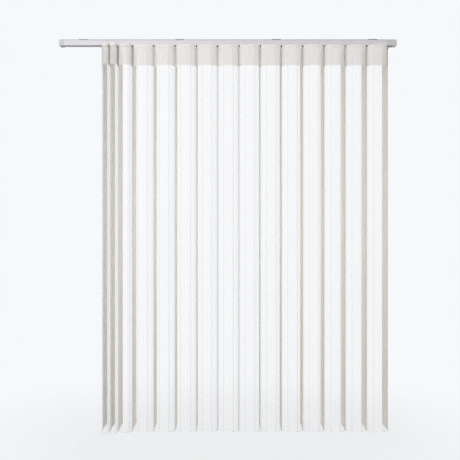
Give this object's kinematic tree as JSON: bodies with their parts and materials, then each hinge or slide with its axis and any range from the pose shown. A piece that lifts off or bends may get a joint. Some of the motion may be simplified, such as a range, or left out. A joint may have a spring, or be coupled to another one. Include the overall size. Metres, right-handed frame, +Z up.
{
  "type": "vertical blind",
  "caption": "Vertical blind with opaque cloth vanes behind one sheer wavy facing, on a slim ceiling-clipped head rail; the vanes tilt together and their carriers slide along the rail.",
  "frame": {"origin": "on the ceiling plane, at the middle of the rail and above the row of tilt axes", "axes": "+X along the rail to the right as seen from the room, +Y to the window, +Z up"},
  "size_m": [1.678, 0.1776, 1.951],
  "materials": {
    "rail_finish": "satin pale grey",
    "clip_steel": "zinc plated",
    "cap_plastic": "fine satin",
    "rod_metal": "mill finish",
    "carrier_plastic": "moulded in grey",
    "hanger_plastic": "moulded in white",
    "vane_cloth": "opaque beige weave",
    "sheer_cloth": "white sheer voile with a denser header"
  },
  "bodies": {
    "root": {"headrail": "rail_finish", "ceiling_clips": "clip_steel", "end_cap_left": "cap_plastic", "end_cap_right": "cap_plastic", "carrier_16": "carrier_plastic", "sheer_facing": "sheer_cloth"},
    "tilt_rod": {"tilt_rod": "rod_metal"},
    "carrier_01": {"carrier_01": "carrier_plastic"},
    "carrier_02": {"carrier_02": "carrier_plastic"},
    "carrier_03": {"carrier_03": "carrier_plastic"},
    "carrier_04": {"carrier_04": "carrier_plastic"},
    "carrier_05": {"carrier_05": "carrier_plastic"},
    "carrier_06": {"carrier_06": "carrier_plastic"},
    "carrier_07": {"carrier_07": "carrier_plastic"},
    "carrier_08": {"carrier_08": "carrier_plastic"},
    "carrier_09": {"carrier_09": "carrier_plastic"},
    "carrier_10": {"carrier_10": "carrier_plastic"},
    "carrier_11": {"carrier_11": "carrier_plastic"},
    "carrier_12": {"carrier_12": "carrier_plastic"},
    "carrier_13": {"carrier_13": "carrier_plastic"},
    "carrier_14": {"carrier_14": "carrier_plastic"},
    "carrier_15": {"carrier_15": "carrier_plastic"},
    "vane_01": {"hanger_01": "hanger_plastic", "vane_01": "vane_cloth"},
    "vane_02": {"hanger_02": "hanger_plastic", "vane_02": "vane_cloth"},
    "vane_03": {"hanger_03": "hanger_plastic", "vane_03": "vane_cloth"},
    "vane_04": {"hanger_04": "hanger_plastic", "vane_04": "vane_cloth"},
    "vane_05": {"hanger_05": "hanger_plastic", "vane_05": "vane_cloth"},
    "vane_06": {"hanger_06": "hanger_plastic", "vane_06": "vane_cloth"},
    "vane_07": {"hanger_07": "hanger_plastic", "vane_07": "vane_cloth"},
    "vane_08": {"hanger_08": "hanger_plastic", "vane_08": "vane_cloth"},
    "vane_09": {"hanger_09": "hanger_plastic", "vane_09": "vane_cloth"},
    "vane_10": {"hanger_10": "hanger_plastic", "vane_10": "vane_cloth"},
    "vane_11": {"hanger_11": "hanger_plastic", "vane_11": "vane_cloth"},
    "vane_12": {"hanger_12": "hanger_plastic", "vane_12": "vane_cloth"},
    "vane_13": {"hanger_13": "hanger_plastic", "vane_13": "vane_cloth"},
    "vane_14": {"hanger_14": "hanger_plastic", "vane_14": "vane_cloth"},
    "vane_15": {"hanger_15": "hanger_plastic", "vane_15": "vane_cloth"},
    "vane_16": {"hanger_16": "hanger_plastic", "vane_16": "vane_cloth"}
  },
  "joints": [
    {"name": "rod_turn", "type": "hinge", "parent": "root", "child": "tilt_rod", "pos_m": [0, 0.0075, -0.0175], "axis": [1, 0, 0], "range_deg": [-360, 360]},
    {"name": "carrier_15_slide", "type": "slide", "parent": "root", "child": "carrier_15", "axis": [1, 0, 0], "range_m": [0, 0.066], "deforming": ["sheer_facing"]},
    {"name": "carrier_14_slide", "type": "slide", "parent": "carrier_15", "child": "carrier_14", "axis": [1, 0, 0], "range_m": [0, 0.066], "deforming": ["sheer_facing"]},
    {"name": "carrier_13_slide", "type": "slide", "parent": "carrier_14", "child": "carrier_13", "axis": [1, 0, 0], "range_m": [0, 0.066], "deforming": ["sheer_facing"]},
    {"name": "carrier_12_slide", "type": "slide", "parent": "carrier_13", "child": "carrier_12", "axis": [1, 0, 0], "range_m": [0, 0.066], "deforming": ["sheer_facing"]},
    {"name": "carrier_11_slide", "type": "slide", "parent": "carrier_12", "child": "carrier_11", "axis": [1, 0, 0], "range_m": [0, 0.066], "deforming": ["sheer_facing"]},
    {"name": "carrier_10_slide", "type": "slide", "parent": "carrier_11", "child": "carrier_10", "axis": [1, 0, 0], "range_m": [0, 0.066], "deforming": ["sheer_facing"]},
    {"name": "carrier_09_slide", "type": "slide", "parent": "carrier_10", "child": "carrier_09", "axis": [1, 0, 0], "range_m": [0, 0.066], "deforming": ["sheer_facing"]},
    {"name": "carrier_08_slide", "type": "slide", "parent": "carrier_09", "child": "carrier_08", "axis": [1, 0, 0], "range_m": [0, 0.066], "deforming": ["sheer_facing"]},
    {"name": "carrier_07_slide", "type": "slide", "parent": "carrier_08", "child": "carrier_07", "axis": [1, 0, 0], "range_m": [0, 0.066], "deforming": ["sheer_facing"]},
    {"name": "carrier_06_slide", "type": "slide", "parent": "carrier_07", "child": "carrier_06", "axis": [1, 0, 0], "range_m": [0, 0.066], "deforming": ["sheer_facing"]},
    {"name": "carrier_05_slide", "type": "slide", "parent": "carrier_06", "child": "carrier_05", "axis": [1, 0, 0], "range_m": [0, 0.066], "deforming": ["sheer_facing"]},
    {"name": "carrier_04_slide", "type": "slide", "parent": "carrier_05", "child": "carrier_04", "axis": [1, 0, 0], "range_m": [0, 0.066], "deforming": ["sheer_facing"]},
    {"name": "carrier_03_slide", "type": "slide", "parent": "carrier_04", "child": "carrier_03", "axis": [1, 0, 0], "range_m": [-0.036, 0.03], "deforming": ["sheer_facing"]},
    {"name": "carrier_02_slide", "type": "slide", "parent": "carrier_03", "child": "carrier_02", "axis": [1, 0, 0], "range_m": [-0.066, 0], "deforming": ["sheer_facing"]},
    {"name": "carrier_01_slide", "type": "slide", "parent": "carrier_02", "child": "carrier_01", "axis": [1, 0, 0], "range_m": [-0.066, 0], "deforming": ["sheer_facing"]},
    {"name": "vane_16_tilt", "type": "hinge", "parent": "root", "child": "vane_16", "pos_m": [0.797, 0, -0.036], "axis": [0, 0, 1], "range_deg": [-80, 80]},
    {"name": "vane_15_tilt", "type": "hinge", "parent": "carrier_15", "child": "vane_15", "pos_m": [0.691, 0, -0.036], "axis": [0, 0, 1], "range_deg": [-80, 80]},
    {"name": "vane_14_tilt", "type": "hinge", "parent": "carrier_14", "child": "vane_14", "pos_m": [0.585, 0, -0.036], "axis": [0, 0, 1], "range_deg": [-80, 80]},
    {"name": "vane_13_tilt", "type": "hinge", "parent": "carrier_13", "child": "vane_13", "pos_m": [0.479, 0, -0.036], "axis": [0, 0, 1], "range_deg": [-80, 80]},
    {"name": "vane_12_tilt", "type": "hinge", "parent": "carrier_12", "child": "vane_12", "pos_m": [0.373, 0, -0.036], "axis": [0, 0, 1], "range_deg": [-80, 80]},
    {"name": "vane_11_tilt", "type": "hinge", "parent": "carrier_11", "child": "vane_11", "pos_m": [0.267, 0, -0.036], "axis": [0, 0, 1], "range_deg": [-80, 80]},
    {"name": "vane_10_tilt", "type": "hinge", "parent": "carrier_10", "child": "vane_10", "pos_m": [0.161, 0, -0.036], "axis": [0, 0, 1], "range_deg": [-80, 80]},
    {"name": "vane_09_tilt", "type": "hinge", "parent": "carrier_09", "child": "vane_09", "pos_m": [0.055, 0, -0.036], "axis": [0, 0, 1], "range_deg": [-80, 80]},
    {"name": "vane_08_tilt", "type": "hinge", "parent": "carrier_08", "child": "vane_08", "pos_m": [-0.051, 0, -0.036], "axis": [0, 0, 1], "range_deg": [-80, 80]},
    {"name": "vane_07_tilt", "type": "hinge", "parent": "carrier_07", "child": "vane_07", "pos_m": [-0.157, 0, -0.036], "axis": [0, 0, 1], "range_deg": [-80, 80]},
    {"name": "vane_06_tilt", "type": "hinge", "parent": "carrier_06", "child": "vane_06", "pos_m": [-0.263, 0, -0.036], "axis": [0, 0, 1], "range_deg": [-80, 80]},
    {"name": "vane_05_tilt", "type": "hinge", "parent": "carrier_05", "child": "vane_05", "pos_m": [-0.369, 0, -0.036], "axis": [0, 0, 1], "range_deg": [-80, 80]},
    {"name": "vane_04_tilt", "type": "hinge", "parent": "carrier_04", "child": "vane_04", "pos_m": [-0.475, 0, -0.036], "axis": [0, 0, 1], "range_deg": [-80, 80]},
    {"name": "vane_03_tilt", "type": "hinge", "parent": "carrier_03", "child": "vane_03", "pos_m": [-0.545, 0, -0.036], "axis": [0, 0, 1], "range_deg": [-80, 80]},
    {"name": "vane_02_tilt", "type": "hinge", "parent": "carrier_02", "child": "vane_02", "pos_m": [-0.585, 0, -0.036], "axis": [0, 0, 1], "range_deg": [-80, 80]},
    {"name": "vane_01_tilt", "type": "hinge", "parent": "carrier_01", "child": "vane_01", "pos_m": [-0.625, 0, -0.036], "axis": [0, 0, 1], "range_deg": [-80, 80]}
  ],
  "couplings": [
    {"joint": "vane_01_tilt", "follows": "vane_16_tilt", "ratio": 1},
    {"joint": "vane_02_tilt", "follows": "vane_16_tilt", "ratio": 1},
    {"joint": "vane_03_tilt", "follows": "vane_16_tilt", "ratio": 1},
    {"joint": "vane_04_tilt", "follows": "vane_16_tilt", "ratio": 1},
    {"joint": "vane_05_tilt", "follows": "vane_16_tilt", "ratio": 1},
    {"joint": "vane_06_tilt", "follows": "vane_16_tilt", "ratio": 1},
    {"joint": "vane_07_tilt", "follows": "vane_16_tilt", "ratio": 1},
    {"joint": "vane_08_tilt", "follows": "vane_16_tilt", "ratio": 1},
    {"joint": "vane_09_tilt", "follows": "vane_16_tilt", "ratio": 1},
    {"joint": "vane_10_tilt", "follows": "vane_16_tilt", "ratio": 1},
    {"joint": "vane_11_tilt", "follows": "vane_16_tilt", "ratio": 1},
    {"joint": "vane_12_tilt", "follows": "vane_16_tilt", "ratio": 1},
    {"joint": "vane_13_tilt", "follows": "vane_16_tilt", "ratio": 1},
    {"joint": "vane_14_tilt", "follows": "vane_16_tilt", "ratio": 1},
    {"joint": "vane_15_tilt", "follows": "vane_16_tilt", "ratio": 1},
    {"joint": "rod_turn", "follows": "vane_16_tilt", "ratio": 4.5}
  ]
}
